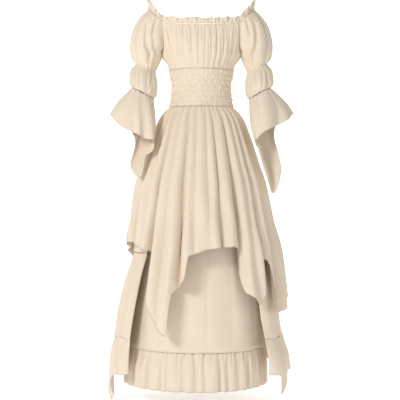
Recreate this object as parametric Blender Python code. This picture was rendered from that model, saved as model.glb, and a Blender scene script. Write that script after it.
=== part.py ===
"""An off-shoulder long sleeve dress with a smocked waistband and tiered skirts.

The front faces -Y and +X is the right of the front view. The origin is the centre of the
smocked waistband, which rests on the wearer's waist. Every piece of cloth is a thin wall on a
surface that is worked out from the sizes below. Angles run round the body: 0 is the front
centre, 90 the right side, 180 the back centre.
"""
import math
from collections import namedtuple

import bmesh
import bpy
from mathutils import Vector

# Cloth and seams
WALL = 0.0016
SEAM_GAP = 0.0003
UP = Vector((0, 0, 1))
CLOTH = (0.76, 0.66, 0.53, 1.0)

# Smocked waistband: plain inside, puckered outside
BAND_TOP = 0.064
BAND_BOTTOM = -0.069
PUCKERS = 44
SHIRRED_ROWS = 7
PUCKER_RELIEF = 0.0022
BAND_WALL = 0.0036
SIDE = 90.0

BandRow = namedtuple("BandRow", "down width front back")
BAND_ROWS = (
    BandRow(0.0, 0.1185, 0.0885, 0.0875),
    BandRow(0.5, 0.1085, 0.0825, 0.0815),
    BandRow(1.0, 0.1175, 0.0887, 0.0877),
)

# Bodice from the neck casing to the band; edge is the raglan seam, then the side seam
UNDERARM = 0.78
BodiceRow = namedtuple("BodiceRow", "down mid_z edge_z width front back spread fold")
BODICE_ROWS = (
    BodiceRow(0.00, 0.2165, 0.2280, 0.2000, 0.1000, 0.0950, 43.2, 0.0010),
    BodiceRow(0.20, 0.1900, 0.2000, 0.1830, 0.1050, 0.0990, 49.4, 0.0045),
    BodiceRow(0.42, 0.1600, 0.1700, 0.1680, 0.1085, 0.1010, 55.8, 0.0060),
    BodiceRow(0.64, 0.1280, 0.1380, 0.1530, 0.1070, 0.1000, 66.2, 0.0060),
    BodiceRow(UNDERARM, 0.1040, 0.1120, 0.1425, 0.1020, 0.0970, 90.0, 0.0055),
    BodiceRow(0.90, 0.0830, 0.0830, 0.1235, 0.0945, 0.0915, 90.0, 0.0040),
    BodiceRow(1.00, BAND_TOP, BAND_TOP, 0.1180, 0.0880, 0.0870, 90.0, 0.0010),
)

# Sleeve from the neck casing over the upper arm, through two elastic lines; outer is the side
# away from the body, the rows above the underarm are open to the armhole
SLEEVE_UNDERARM = 0.50
ARM_TILT = 26.0
SleeveRow = namedtuple("SleeveRow", "down outer_x outer_z inner_x inner_z mid_y depth fold")
SLEEVE_ROWS = (
    SleeveRow(0.00, 0.190, 0.284, 0.137, 0.228, 0.000, 0.0735, 0.0010),
    SleeveRow(0.13, 0.222, 0.254, 0.139, 0.200, 0.000, 0.0755, 0.0040),
    SleeveRow(0.27, 0.2435, 0.212, 0.139, 0.170, 0.000, 0.0755, 0.0060),
    SleeveRow(0.41, 0.2535, 0.160, 0.140, 0.138, -0.001, 0.0710, 0.0070),
    SleeveRow(SLEEVE_UNDERARM, 0.2520, 0.123, 0.1425, 0.112, -0.004, 0.0640, 0.0070),
    SleeveRow(0.58, 0.2450, 0.100, 0.153, 0.083, -0.009, 0.0520, 0.0055),
    SleeveRow(0.64, 0.2360, 0.0875, 0.163, 0.0545, -0.014, 0.0400, 0.0010),
    SleeveRow(0.70, 0.2500, 0.066, 0.158, 0.033, -0.018, 0.0500, 0.0050),
    SleeveRow(0.79, 0.2545, 0.036, 0.156, 0.003, -0.024, 0.0560, 0.0065),
    SleeveRow(0.90, 0.2550, 0.012, 0.159, -0.026, -0.030, 0.0530, 0.0055),
    SleeveRow(1.00, 0.2480, 0.000, 0.1685, -0.0415, -0.034, 0.0440, 0.0010),
)

# Handkerchief cuffs: where the hem lies round each arm, 0 on its outer side, -90 in front
CUFF_FOLD = 0.0075
CUFF_SWELL = 0.010
CuffHem = namedtuple("CuffHem", "around x y z")
LEFT_CUFF_HEM = (
    CuffHem(-180, 0.186, -0.118, -0.240),
    CuffHem(-150, 0.166, -0.122, -0.216),
    CuffHem(-125, 0.160, -0.128, -0.197),
    CuffHem(-90, 0.203, -0.134, -0.183),
    CuffHem(-60, 0.240, -0.126, -0.161),
    CuffHem(-30, 0.277, -0.104, -0.142),
    CuffHem(0, 0.321, -0.058, -0.098),
    CuffHem(40, 0.292, -0.018, -0.112),
    CuffHem(80, 0.258, -0.030, -0.138),
    CuffHem(110, 0.238, -0.062, -0.190),
    CuffHem(130, 0.246, -0.088, -0.285),
    CuffHem(155, 0.213, -0.108, -0.318),
    CuffHem(180, 0.186, -0.118, -0.240),
)
RIGHT_CUFF_HEM = (
    CuffHem(-180, 0.203, -0.116, -0.215),
    CuffHem(-150, 0.192, -0.120, -0.205),
    CuffHem(-125, 0.192, -0.126, -0.188),
    CuffHem(-90, 0.214, -0.134, -0.168),
    CuffHem(-60, 0.246, -0.126, -0.148),
    CuffHem(-30, 0.287, -0.104, -0.128),
    CuffHem(0, 0.323, -0.058, -0.097),
    CuffHem(40, 0.296, -0.018, -0.108),
    CuffHem(80, 0.266, -0.030, -0.132),
    CuffHem(110, 0.258, -0.058, -0.190),
    CuffHem(130, 0.281, -0.080, -0.300),
    CuffHem(155, 0.252, -0.102, -0.372),
    CuffHem(180, 0.203, -0.116, -0.215),
)

# Neck frill: an elastic casing with a gathered header above it
FRILL_WAVES = 32
FRILL_FRONT_HEIGHT = 0.021
FRILL_ARM_HEIGHT = 0.032
FRILL_WAVE = 0.0042

# Skirts: half sizes by the drop below the band, and the depth of the folds there
SkirtRow = namedtuple("SkirtRow", "drop left right front back fold")
OVERSKIRT_ROWS = (
    SkirtRow(0.000, 0.1172, 0.1172, 0.0884, 0.0874, 0.0004),
    SkirtRow(0.021, 0.1380, 0.1380, 0.1050, 0.1030, 0.0050),
    SkirtRow(0.051, 0.1570, 0.1570, 0.1230, 0.1210, 0.0090),
    SkirtRow(0.130, 0.1870, 0.1870, 0.1560, 0.1540, 0.0130),
    SkirtRow(0.198, 0.2100, 0.2090, 0.1790, 0.1770, 0.0160),
    SkirtRow(0.277, 0.2370, 0.2360, 0.2020, 0.2000, 0.0190),
    SkirtRow(0.417, 0.2630, 0.2640, 0.2290, 0.2290, 0.0230),
    SkirtRow(0.497, 0.2780, 0.2860, 0.2440, 0.2480, 0.0250),
    SkirtRow(0.669, 0.3220, 0.3150, 0.2760, 0.2960, 0.0260),
    SkirtRow(0.800, 0.3320, 0.3200, 0.2900, 0.3160, 0.0260),
)
DRAPE_ROWS = (
    SkirtRow(0.000, 0.1150, 0.1150, 0.0862, 0.0852, 0.0000),
    SkirtRow(0.021, 0.1270, 0.1270, 0.0945, 0.0925, 0.0010),
    SkirtRow(0.051, 0.1400, 0.1400, 0.1060, 0.1040, 0.0030),
    SkirtRow(0.130, 0.1640, 0.1640, 0.1330, 0.1310, 0.0060),
    SkirtRow(0.277, 0.2040, 0.2030, 0.1690, 0.1670, 0.0090),
    SkirtRow(0.417, 0.2260, 0.2260, 0.1900, 0.1900, 0.0090),
    SkirtRow(0.515, 0.2420, 0.2430, 0.2020, 0.2010, 0.0060),
    SkirtRow(0.600, 0.2720, 0.2600, 0.2180, 0.2180, 0.0110),
    SkirtRow(0.730, 0.3040, 0.2780, 0.2360, 0.2380, 0.0120),
    SkirtRow(0.812, 0.3140, 0.2940, 0.2480, 0.2540, 0.0070),
    SkirtRow(0.900, 0.3300, 0.3190, 0.2760, 0.2840, 0.0180),
    SkirtRow(1.050, 0.3330, 0.3160, 0.2800, 0.2900, 0.0200),
)
UNDERSKIRT_ROWS = (
    SkirtRow(0.000, 0.1122, 0.1122, 0.0834, 0.0824, 0.0000),
    SkirtRow(0.050, 0.1210, 0.1210, 0.0910, 0.0900, 0.0010),
    SkirtRow(0.200, 0.1490, 0.1470, 0.1220, 0.1210, 0.0030),
    SkirtRow(0.400, 0.1850, 0.1810, 0.1570, 0.1560, 0.0050),
    SkirtRow(0.600, 0.2190, 0.2090, 0.1890, 0.1890, 0.0070),
    SkirtRow(0.750, 0.2430, 0.2240, 0.2080, 0.2110, 0.0070),
    SkirtRow(0.850, 0.2600, 0.2280, 0.2180, 0.2230, 0.0030),
    SkirtRow(0.900, 0.2740, 0.2360, 0.2290, 0.2340, 0.0090),
    SkirtRow(0.979, 0.2790, 0.2380, 0.2340, 0.2390, 0.0140),
)
DRAPE_RIGHT_EDGE = 50.0
DRAPE_LEFT_EDGE = 307.0
DRAPE_SEAM = -0.584
DRAPE_RUFFLE_SEAM = -0.881
HEM_SEAM = -0.919
HEM_Z = -1.048

# Hem heights by angle; straight between the rows, as a handkerchief hem is cut
Hem = namedtuple("Hem", "angle z")
OVERSKIRT_FRONT_HEM = (
    Hem(-90, -0.540),
    Hem(-64, -0.549),
    Hem(-43, -0.574),
    Hem(-39, -0.590),
    Hem(-37, -0.735),
    Hem(-28, -0.835),
    Hem(-21.5, -0.856),
    Hem(-19, -0.718),
    Hem(-16, -0.698),
    Hem(-10.8, -0.666),
    Hem(-9.3, -0.590),
    Hem(4, -0.567),
    Hem(24, -0.557),
    Hem(28.7, -0.568),
    Hem(31, -0.712),
    Hem(41, -0.756),
    Hem(47.5, -0.702),
    Hem(51, -0.604),
    Hem(53, -0.612),
    Hem(56, -0.806),
    Hem(70, -0.778),
    Hem(82, -0.742),
    Hem(90, -0.735),
)
OVERSKIRT_BACK_HEM = (
    Hem(90, -0.735),
    Hem(103, -0.680),
    Hem(122, -0.610),
    Hem(142, -0.740),
    Hem(154, -0.810),
    Hem(167, -0.700),
    Hem(186, -0.640),
    Hem(205, -0.740),
    Hem(218, -0.800),
    Hem(231, -0.660),
    Hem(250, -0.590),
    Hem(270, -0.540),
)
DRAPE_HEM = (
    Hem(DRAPE_RIGHT_EDGE, -1.000),
    Hem(58, -1.004),
    Hem(66, -1.084),
    Hem(74, -1.006),
    Hem(95, -0.985),
    Hem(140, -1.000),
    Hem(180, -0.990),
    Hem(225, -1.000),
    Hem(262, -1.010),
    Hem(278, -1.112),
    Hem(290, -1.010),
    Hem(DRAPE_LEFT_EDGE, -1.000),
)

# Folds: where each valley runs, and how deep it is beside its neighbours
Fold = namedtuple("Fold", "place depth")
BODICE_FRONT_FOLDS = (
    Fold(-1.00, 1.0),
    Fold(-0.84, 0.9),
    Fold(-0.72, 0.6),
    Fold(-0.59, 1.0),
    Fold(-0.43, 0.8),
    Fold(-0.23, 1.2),
    Fold(-0.06, 1.1),
    Fold(0.10, 0.8),
    Fold(0.25, 0.9),
    Fold(0.38, 1.2),
    Fold(0.57, 0.9),
    Fold(0.70, 0.6),
    Fold(0.82, 1.0),
    Fold(1.00, 1.0),
)
BODICE_BACK_FOLDS = (
    Fold(-1.00, 1.0),
    Fold(-0.82, 0.9),
    Fold(-0.68, 1.1),
    Fold(-0.52, 0.7),
    Fold(-0.36, 1.0),
    Fold(-0.22, 0.8),
    Fold(-0.05, 1.1),
    Fold(0.12, 0.8),
    Fold(0.27, 1.0),
    Fold(0.44, 0.7),
    Fold(0.58, 1.1),
    Fold(0.72, 0.8),
    Fold(0.86, 0.9),
    Fold(1.00, 1.0),
)
OVERSKIRT_FRONT_FOLDS = (
    Fold(-90, 1.0),
    Fold(-77, 0.7),
    Fold(-64, 1.1),
    Fold(-53, 0.7),
    Fold(-43, 1.2),
    Fold(-31, 0.7),
    Fold(-16, 1.3),
    Fold(-4, 0.6),
    Fold(8, 0.5),
    Fold(17, 1.0),
    Fold(31, 1.3),
    Fold(41, 0.7),
    Fold(51, 1.1),
    Fold(65, 1.0),
    Fold(78, 0.8),
    Fold(90, 1.0),
)
OVERSKIRT_BACK_FOLDS = (
    Fold(90, 1.0),
    Fold(103, 0.8),
    Fold(116, 1.1),
    Fold(128, 0.7),
    Fold(142, 1.2),
    Fold(154, 0.8),
    Fold(167, 1.0),
    Fold(180, 1.2),
    Fold(192, 0.7),
    Fold(205, 1.1),
    Fold(218, 0.8),
    Fold(231, 1.2),
    Fold(244, 0.7),
    Fold(257, 1.0),
    Fold(270, 1.0),
)
SLEEVE_FOLDS = 9
CUFF_FOLDS = 8
DRAPE_UPPER_FOLDS = 11
DRAPE_LOWER_FOLDS = 15
DRAPE_RUFFLE_FOLDS = 18
UNDERSKIRT_FOLDS = 6
HEM_RUFFLE_WAVES = 19
STEPS_PER_FOLD = 3

# Rows of each grid, as shares of the piece's length
BODICE_GRID = tuple(row.down for row in BODICE_ROWS)
SLEEVE_GRID = tuple(row.down for row in SLEEVE_ROWS)
CUFF_GRID = (0.0, 0.12, 0.35, 0.65, 1.0)
OVERSKIRT_GRID = (0.0, 0.04, 0.10, 0.22, 0.40, 0.60, 0.80, 1.0)
DRAPE_UPPER_GRID = (0.0, 0.10, 0.35, 0.70, 1.0)
DRAPE_LOWER_GRID = (0.0, 0.28, 0.72, 1.0)
UNDERSKIRT_GRID = (0.0, 0.06, 0.25, 0.50, 0.75, 1.0)
RUFFLE_GRID = (0.0, 0.35, 1.0)
BAND_INNER_GRID = (0.0, 0.25, 0.5, 0.75, 1.0)
FRILL_GRID = (0.0, 0.35, 1.0)


def blend(rows, key):
    """The table's row at a key of its first column, on a smooth curve through the rows."""
    keys = [row[0] for row in rows]
    key = min(max(key, keys[0]), keys[-1])
    low = max(i for i in range(len(keys) - 1) if keys[i] <= key)
    span = keys[low + 1] - keys[low]
    t = (key - keys[low]) / span

    def slope(i, column):
        before = max(i - 1, 0)
        after = min(i + 1, len(keys) - 1)
        return (rows[after][column] - rows[before][column]) / (keys[after] - keys[before])

    values = [key]
    for column in range(1, len(rows[0])):
        start = rows[low][column]
        end = rows[low + 1][column]
        rise = span * (t * (1 - t) ** 2 * slope(low, column) - t * t * (1 - t) * slope(low + 1, column))
        values.append(start + (end - start) * t * t * (3 - 2 * t) + rise)
    return type(rows[0])(*values)


def straight(rows, key):
    """The second column of a table at a key of its first, in straight lines."""
    for low, high in zip(rows, rows[1:]):
        if key <= high[0]:
            share = max(0.0, (key - low[0]) / (high[0] - low[0]))
            return low[1] + (high[1] - low[1]) * share
    return rows[-1][1]


def even_folds(first, last, count):
    """Folds at a nearly even pitch, with depths that vary from one to the next."""
    folds = [Fold(first, 1.0)]
    for i in range(1, count):
        place = first + (last - first) * (i + 0.22 * math.sin(2.4 * i)) / count
        folds.append(Fold(place, 1.0 + 0.3 * math.sin(4.1 * i + 1.0)))
    folds.append(Fold(last, 1.0))
    return tuple(folds)


def scallop(folds, place):
    """0 on the crest of a fold, and minus its depth in the valleys on either side."""
    for low, high in zip(folds, folds[1:]):
        if place <= high.place:
            break
    share = min(max((place - low.place) / (high.place - low.place), 0.0), 1.0)
    depth = low.depth + (high.depth - low.depth) * share
    return -depth * (1 - math.sin(math.pi * share) ** 0.8)


def stations(folds, steps=STEPS_PER_FOLD):
    """Grid columns: each valley, and an even number of steps to the next."""
    places = [folds[0].place]
    for low, high in zip(folds, folds[1:]):
        for i in range(1, steps + 1):
            places.append(low.place + (high.place - low.place) * i / steps)
    return places


def with_corners(columns, hem):
    """The columns with one at each corner of the hem, which takes the place of any close by."""
    corners = [row.angle for row in hem]
    kept = [place for place in columns if min(abs(place - corner) for corner in corners) > 1.2]
    return sorted(kept + corners)


def ring_point(angle, left, right, front, back, push=0.0):
    """A point of an oval ring round the body, pushed out along the ring's normal."""
    width = right if math.sin(math.radians(angle)) > 0 else left
    depth = front if math.cos(math.radians(angle)) > 0 else back
    sine = math.sin(math.radians(angle))
    cosine = math.cos(math.radians(angle))
    normal = Vector((sine / width, -cosine / depth))
    normal.normalize()
    return width * sine + push * normal.x, -depth * cosine + push * normal.y


def along(point, across, down, step):
    """Unit direction along the cloth's width."""
    side = point(across + step, down) - point(across - step, down)
    side.normalize()
    return side


def inward(point, across, down, step, axis=UP):
    """Unit direction from the outer face of the cloth to its inner face, square to the axis."""
    length = point(across, min(down + 0.004, 1.0)) - point(across, max(down - 0.004, 0.0))
    normal = along(point, across, down, step).cross(length)
    normal -= normal.dot(axis) * axis
    normal.normalize()
    return normal


def outer_grid(mesh, columns, rows, place):
    """A grid of triangles with its vertices at place(column, row), and each vertex's address."""
    made = bmesh.ops.create_grid(mesh, x_segments=len(columns) - 1, y_segments=len(rows) - 1, size=0.5)
    address = {}
    for vertex in made["verts"]:
        column = columns[round((vertex.co.x + 0.5) * (len(columns) - 1))]
        row = rows[round((0.5 - vertex.co.y) * (len(rows) - 1))]
        address[vertex] = (column, row)
        vertex.co = place(column, row)
    bmesh.ops.triangulate(mesh, faces=mesh.faces[:])
    return address


def finish_piece(name, mesh):
    """The finished piece as an object of its own, smooth, with the cloth's material."""
    data = bpy.data.meshes.new(name)
    mesh.to_mesh(data)
    mesh.free()
    data.shade_smooth()
    data.set_sharp_from_angle(angle=math.radians(50))
    data.materials.append(cloth_material())
    piece = bpy.data.objects.new(name, data)
    bpy.context.scene.collection.objects.link(piece)
    return piece


def cloth_material():
    """Matte woven cloth, made once."""
    if "cloth" in bpy.data.materials:
        return bpy.data.materials["cloth"]
    material = bpy.data.materials.new("cloth")
    material.use_nodes = True
    shader = material.node_tree.nodes["Principled BSDF"]
    shader.inputs["Base Color"].default_value = CLOTH
    shader.inputs["Roughness"].default_value = 0.85
    return material


def cloth_piece(name, point, columns, rows, axis=UP, seams=True, closed_from=None):
    """A wall of cloth on the surface point(across, down), which runs to the right and down.

    The wall isn't thickened along the axis. seams leaves half of a gap at the first and the last
    column, and closed_from joins them from that row on.
    """
    step = 0.002 * (columns[-1] - columns[0])
    ends = {columns[0]: 1, columns[-1]: -1} if seams else {}

    def trimmed(across, down):
        shift = ends.get(across, 0) * SEAM_GAP / 2
        return point(across, down) + shift * along(point, across, down, step)

    mesh = bmesh.new()
    address = outer_grid(mesh, columns, rows, trimmed)
    inner_co = {}
    for vertex, (across, down) in address.items():
        inner_co[vertex] = vertex.co + WALL * inward(point, across, down, step, axis)
    if closed_from is not None:
        close_columns(mesh, address, columns, closed_from)
    add_inner_wall(mesh, inner_co)
    return finish_piece(name, mesh)


def close_columns(mesh, address, columns, closed_from):
    """Joins the last column to the first from a row on, which makes a tube there."""
    first = {down: vertex for vertex, (across, down) in address.items() if across == columns[0]}
    joined = {}
    for vertex, (across, down) in address.items():
        if across == columns[-1] and down >= closed_from:
            joined[vertex] = first[down]
    bmesh.ops.weld_verts(mesh, targetmap=joined)


def add_inner_wall(mesh, inner_co):
    """Copies the outer faces to the inner side and closes the edges between the two."""
    outer_faces = mesh.faces[:]
    rim = [edge for edge in mesh.edges if len(edge.link_faces) == 1]
    twin = {vertex: mesh.verts.new(inner_co[vertex]) for vertex in mesh.verts[:]}
    rim_pairs = []
    for edge in rim:
        loop = edge.link_loops[0]
        rim_pairs.append((loop.vert, loop.link_loop_next.vert))
    for face in outer_faces:
        mesh.faces.new([twin[vertex] for vertex in reversed(face.verts)])
    for start, end in rim_pairs:
        mesh.faces.new((end, start, twin[start], twin[end]))


def bodice_point(side, folds):
    """Surface of the front (side -1) or the back (side 1) of the bodice; across is -1 to 1."""
    def point(across, down):
        row = blend(BODICE_ROWS, down)
        width = row.width
        depth = row.front if side < 0 else row.back
        angle = math.radians(min(row.spread, SIDE) * across)
        push = row.fold * scallop(folds, across)
        normal = Vector((math.sin(angle) / width, math.cos(angle) / depth))
        normal.normalize()
        x = width * math.sin(angle) + push * normal.x
        y = depth * math.cos(angle) + push * normal.y
        z = row.mid_z + (row.edge_z - row.mid_z) * across * across
        return Vector((-side * x, side * y, z + SEAM_GAP / 2))
    return point


def sleeve_point(hand):
    """Surface of a sleeve on one hand (-1 left, 1 right); 0 is the outer side of the arm.

    On the right the front of the armhole is at -1 and its back at 1, and on the left the other
    way round, so that across always runs to the right when the outer side is seen.
    """
    folds = even_folds(-1.0, 1.0, SLEEVE_FOLDS)
    front = bodice_point(-1, BODICE_FRONT_FOLDS)
    back = bodice_point(1, BODICE_BACK_FOLDS)

    def point(across, down):
        row = blend(SLEEVE_ROWS, down)
        turn_share = across * hand
        opening = math.pi
        inner_x = row.inner_x
        inner_z = row.inner_z
        if down < SLEEVE_UNDERARM:
            armhole_down = down * UNDERARM / SLEEVE_UNDERARM
            edge = front(hand, armhole_down) if turn_share < 0 else back(-hand, armhole_down)
            opening = math.pi - math.asin(min(abs(edge.y - row.mid_y) / row.depth, 1.0))
            inner_x = abs(edge.x)
            inner_z = edge.z
        turn = turn_share * opening
        share = (math.cos(turn) - math.cos(opening)) / (1 - math.cos(opening))
        push = row.fold * (scallop(folds, turn_share) + 0.5)
        push *= min(1.0, (1 - abs(turn_share)) / 0.12)
        inner_x += SEAM_GAP
        x = inner_x + (row.outer_x - inner_x) * share + push * math.cos(turn)
        y = row.mid_y + row.depth * math.sin(turn) + push * math.sin(turn)
        z = inner_z + (row.outer_z - inner_z) * share
        return Vector((hand * x, y, z))
    return point


def cuff_point(hand, hem_rows):
    """Surface of a bell cuff, from the lower elastic line to its handkerchief hem."""
    sleeve = sleeve_point(hand)
    folds = even_folds(-1.0, 1.0, CUFF_FOLDS)

    def point(across, down):
        across = (across + 1) % 2 - 1 if abs(across) > 1 else across
        turn_share = across * hand
        hem = blend(hem_rows, turn_share * 180)
        turn = turn_share * math.pi
        start = sleeve(across, 1.0) - UP * SEAM_GAP
        end = Vector((hand * hem.x, hem.y, hem.z))
        push = CUFF_FOLD * down * (scallop(folds, turn_share) + 0.5)
        swell = CUFF_SWELL * math.sin(math.pi * down)
        out = Vector((hand * math.cos(turn), math.sin(turn), 0))
        return start.lerp(end, down) + out * (push + swell)
    return point


def skirt_point(rows, folds, top, bottom):
    """Surface of a skirt piece between two heights; bottom gives the hem's at each angle."""
    def point(angle, down):
        z = top - SEAM_GAP + (bottom(angle) - top + SEAM_GAP) * down
        row = blend(rows, BAND_BOTTOM - z)
        push = row.fold * scallop(folds, angle)
        x, y = ring_point(angle, row.left, row.right, row.front, row.back, push)
        return Vector((x, y, z))
    return point


def frill_point(across, down):
    """Surface of the neck frill; across counts front, right arm, back and left arm as 0 to 4."""
    stretch = int(across % 4)
    share = 2 * (across % 1) - 1
    edges = (
        bodice_point(-1, BODICE_FRONT_FOLDS),
        sleeve_point(1),
        bodice_point(1, BODICE_BACK_FOLDS),
        sleeve_point(-1),
    )
    base = edges[stretch](share, 0.0)
    arm = math.cos(share * math.pi / 2) ** 2 if stretch % 2 else 0.0
    height = FRILL_FRONT_HEIGHT + (FRILL_ARM_HEIGHT - FRILL_FRONT_HEIGHT) * arm
    out = Vector((base.x, base.y * 4, 0))
    out.normalize()
    lean = FRILL_WAVE * down * math.sin(across * math.tau * FRILL_WAVES / 4)
    return base + out * lean + UP * (SEAM_GAP + height * down)


def make_bodice():
    """Front and back of the bodice, gathered into the neck casing and the band."""
    cloth_piece(
        "bodice_front", bodice_point(-1, BODICE_FRONT_FOLDS),
        stations(BODICE_FRONT_FOLDS), BODICE_GRID,
    )
    cloth_piece(
        "bodice_back", bodice_point(1, BODICE_BACK_FOLDS),
        stations(BODICE_BACK_FOLDS), BODICE_GRID,
    )


def make_neck_frill():
    """The elastic casing round the neck and both arms, with its gathered header."""
    columns = [4 * i / (3 * FRILL_WAVES) for i in range(3 * FRILL_WAVES + 1)]
    cloth_piece(
        "neck_frill", frill_point, columns, FRILL_GRID,
        seams=False, closed_from=0.0,
    )


def make_band(name, first, last):
    """Half of the waistband: shirred puckers outside, a plain face inside."""
    columns = [first + (last - first) * i / PUCKERS for i in range(PUCKERS + 1)]
    step = 0.002 * (last - first)

    def plain(across, down):
        row = blend(BAND_ROWS, down)
        x, y = ring_point(across, row.width, row.width, row.front, row.back)
        return Vector((x, y, BAND_TOP - SEAM_GAP / 2 + (BAND_BOTTOM - BAND_TOP) * down))

    def puckered(across, down):
        column = min(range(PUCKERS + 1), key=lambda i: abs(columns[i] - across))
        row = round(down * 2 * SHIRRED_ROWS)
        height = (0.25 + 0.75 * (row % 2)) * (0.35 + 0.65 * (column % 2))
        height *= 0 < column < PUCKERS
        sink = PUCKER_RELIEF * (1 - height)
        return plain(across, down) + sink * inward(plain, across, down, step)

    def inside(across, down):
        shift = {first: 1, last: -1}.get(across, 0) * SEAM_GAP / 2
        place = plain(across, down) + shift * along(plain, across, down, step)
        return place + BAND_WALL * inward(plain, across, down, step)

    ends = {first: 1, last: -1}
    rows = [i / (2 * SHIRRED_ROWS) for i in range(2 * SHIRRED_ROWS + 1)]

    def trimmed(across, down):
        return puckered(across, down) + ends.get(across, 0) * SEAM_GAP / 2 * along(plain, across, down, step)

    mesh = bmesh.new()
    outside = outer_grid(mesh, columns, rows, trimmed)
    plain_side = outer_grid(mesh, columns, BAND_INNER_GRID, inside)
    plain_faces = {face for vertex in plain_side for face in vertex.link_faces}
    bmesh.ops.reverse_faces(mesh, faces=list(plain_faces))
    close_band_rims(mesh, columns, outside, plain_side)
    finish_piece(name, mesh)


def close_band_rims(mesh, columns, outside, inside):
    """Joins the puckered outer face to the plain inner one, round all four edges."""
    outer = {where: vertex for vertex, where in outside.items()}
    inner = {where: vertex for vertex, where in inside.items()}
    for left, right in zip(columns, columns[1:]):
        top = (outer[left, 0.0], outer[right, 0.0], inner[right, 0.0], inner[left, 0.0])
        bottom = (outer[right, 1.0], outer[left, 1.0], inner[left, 1.0], inner[right, 1.0])
        mesh.faces.new(top)
        mesh.faces.new(bottom)
    for column, turned in ((columns[0], False), (columns[-1], True)):
        outer_side = [outer[key] for key in sorted(outer) if key[0] == column]
        inner_side = [inner[key] for key in sorted(inner) if key[0] == column]
        close_side_rim(mesh, outer_side, inner_side, turned)
    bmesh.ops.triangulate(mesh, faces=mesh.faces[:])


def close_side_rim(mesh, outer_side, inner_side, turned):
    """A strip of triangles between two edges whose rows lie at different heights."""
    i = 0
    j = 0
    while i < len(outer_side) - 1 or j < len(inner_side) - 1:
        corners = [outer_side[i], inner_side[j]]
        outer_step = math.inf
        inner_step = math.inf
        if i < len(outer_side) - 1:
            outer_step = (outer_side[i + 1].co - inner_side[j].co).length
        if j < len(inner_side) - 1:
            inner_step = (inner_side[j + 1].co - outer_side[i].co).length
        if outer_step <= inner_step:
            i += 1
            corners.append(outer_side[i])
        else:
            j += 1
            corners.append(inner_side[j])
        mesh.faces.new(corners[::-1] if turned else corners)


def make_sleeve(name, hand):
    """One sleeve, cut in one with both puffs, which two elastic lines draw in."""
    cloth_piece(
        name, sleeve_point(hand), stations(even_folds(-1.0, 1.0, SLEEVE_FOLDS)), SLEEVE_GRID,
        axis=arm_axis(hand), seams=False, closed_from=SLEEVE_UNDERARM,
    )


def make_cuff(name, hand, hem_rows):
    """One bell cuff, sewn to the sleeve at its lower elastic line."""
    cloth_piece(
        name, cuff_point(hand, hem_rows), stations(even_folds(-1.0, 1.0, CUFF_FOLDS)), CUFF_GRID,
        axis=arm_axis(hand), seams=False, closed_from=0.0,
    )


def arm_axis(hand):
    """Direction of an arm, square to its sleeve's elastic lines."""
    tilt = math.radians(ARM_TILT)
    return Vector((-hand * math.sin(tilt), 0, math.cos(tilt)))


def make_overskirt():
    """Front and back of the overskirt, pleated into the band, with a handkerchief hem."""
    for name, folds, hem in (
        ("overskirt_front", OVERSKIRT_FRONT_FOLDS, OVERSKIRT_FRONT_HEM),
        ("overskirt_back", OVERSKIRT_BACK_FOLDS, OVERSKIRT_BACK_HEM),
    ):
        surface = skirt_point(
            OVERSKIRT_ROWS, folds, BAND_BOTTOM, lambda angle, hem=hem: straight(hem, angle),
        )
        cloth_piece(name, surface, with_corners(stations(folds), hem), OVERSKIRT_GRID)


def make_drapes():
    """The tiered layer at the sides and the back: two gathered tiers and a ruffle."""
    for name, count, top, bottom, rows in (
        ("drape_upper", DRAPE_UPPER_FOLDS, BAND_BOTTOM, DRAPE_SEAM, DRAPE_UPPER_GRID),
        ("drape_lower", DRAPE_LOWER_FOLDS, DRAPE_SEAM, DRAPE_RUFFLE_SEAM, DRAPE_LOWER_GRID),
        ("drape_ruffle", DRAPE_RUFFLE_FOLDS, DRAPE_RUFFLE_SEAM, None, RUFFLE_GRID),
    ):
        folds = even_folds(DRAPE_RIGHT_EDGE, DRAPE_LEFT_EDGE, count)
        hem = lambda angle, bottom=bottom: bottom or straight(DRAPE_HEM, angle)
        surface = skirt_point(DRAPE_ROWS, folds, top, hem)
        columns = stations(folds, 2)
        if bottom is None:
            columns = with_corners(columns, DRAPE_HEM)
        cloth_piece(name, surface, columns, rows)


def make_underskirt():
    """The plain A-line underskirt and the gathered ruffle round its hem, front and back."""
    for half, first in (("front", -SIDE), ("back", SIDE)):
        soft = even_folds(first, first + 180, UNDERSKIRT_FOLDS)
        waves = even_folds(first, first + 180, HEM_RUFFLE_WAVES)
        skirt = skirt_point(UNDERSKIRT_ROWS, soft, BAND_BOTTOM, lambda angle: HEM_SEAM)
        ruffle = skirt_point(UNDERSKIRT_ROWS, waves, HEM_SEAM, lambda angle: HEM_Z)
        cloth_piece("underskirt_" + half, skirt, stations(soft), UNDERSKIRT_GRID)
        cloth_piece("hem_ruffle_" + half, ruffle, stations(waves), RUFFLE_GRID)


def main():
    for old in list(bpy.data.objects):
        bpy.data.objects.remove(old)
    make_neck_frill()
    make_bodice()
    make_band("waistband_front", -SIDE, SIDE)
    make_band("waistband_back", SIDE, SIDE + 180)
    make_sleeve("sleeve_left", -1)
    make_sleeve("sleeve_right", 1)
    make_cuff("cuff_left", -1, LEFT_CUFF_HEM)
    make_cuff("cuff_right", 1, RIGHT_CUFF_HEM)
    make_overskirt()
    make_drapes()
    make_underskirt()


main()
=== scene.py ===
"""Off-shoulder long sleeve dress in cream woven cotton, laid as cloth in the place of its solids."""
import math

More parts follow.
